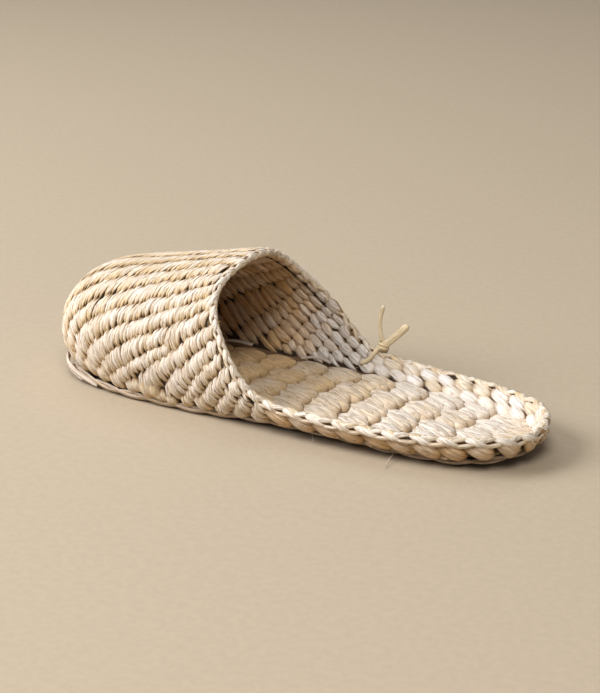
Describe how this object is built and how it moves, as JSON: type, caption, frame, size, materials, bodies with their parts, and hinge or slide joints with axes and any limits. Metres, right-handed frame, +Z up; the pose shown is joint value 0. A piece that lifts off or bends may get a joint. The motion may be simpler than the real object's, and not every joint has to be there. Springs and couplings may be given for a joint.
{
  "type": "woven slipper",
  "caption": "Backless house slipper plaited from dried rush: rounded closed vamp, wide open heel with a low splayed rim, braided mouth and a small knotted tie.",
  "frame": {"origin": "on the floor under the middle of the shoe, half way between toe and heel", "axes": "+X runs from the toe to the heel, +Y across the foot towards the side with the tie, +Z up"},
  "size_m": [0.2693, 0.1013, 0.0741],
  "materials": {
    "pale_rush": "dry, softly satin plaited rush, cream with straw and tan strands",
    "golden_rush": "dry twisted rush strand, straw gold",
    "footbed_rush": "broad folded rush leaves, warm cream, slightly polished",
    "sole_rush": "dense plaited rush mat, tan"
  },
  "bodies": {
    "root": {"sole": "sole_rush", "sole_binding": "pale_rush", "footbed": "footbed_rush", "upper": "pale_rush", "mouth_braid": "golden_rush", "tie": "golden_rush"}
  },
  "joints": []
}
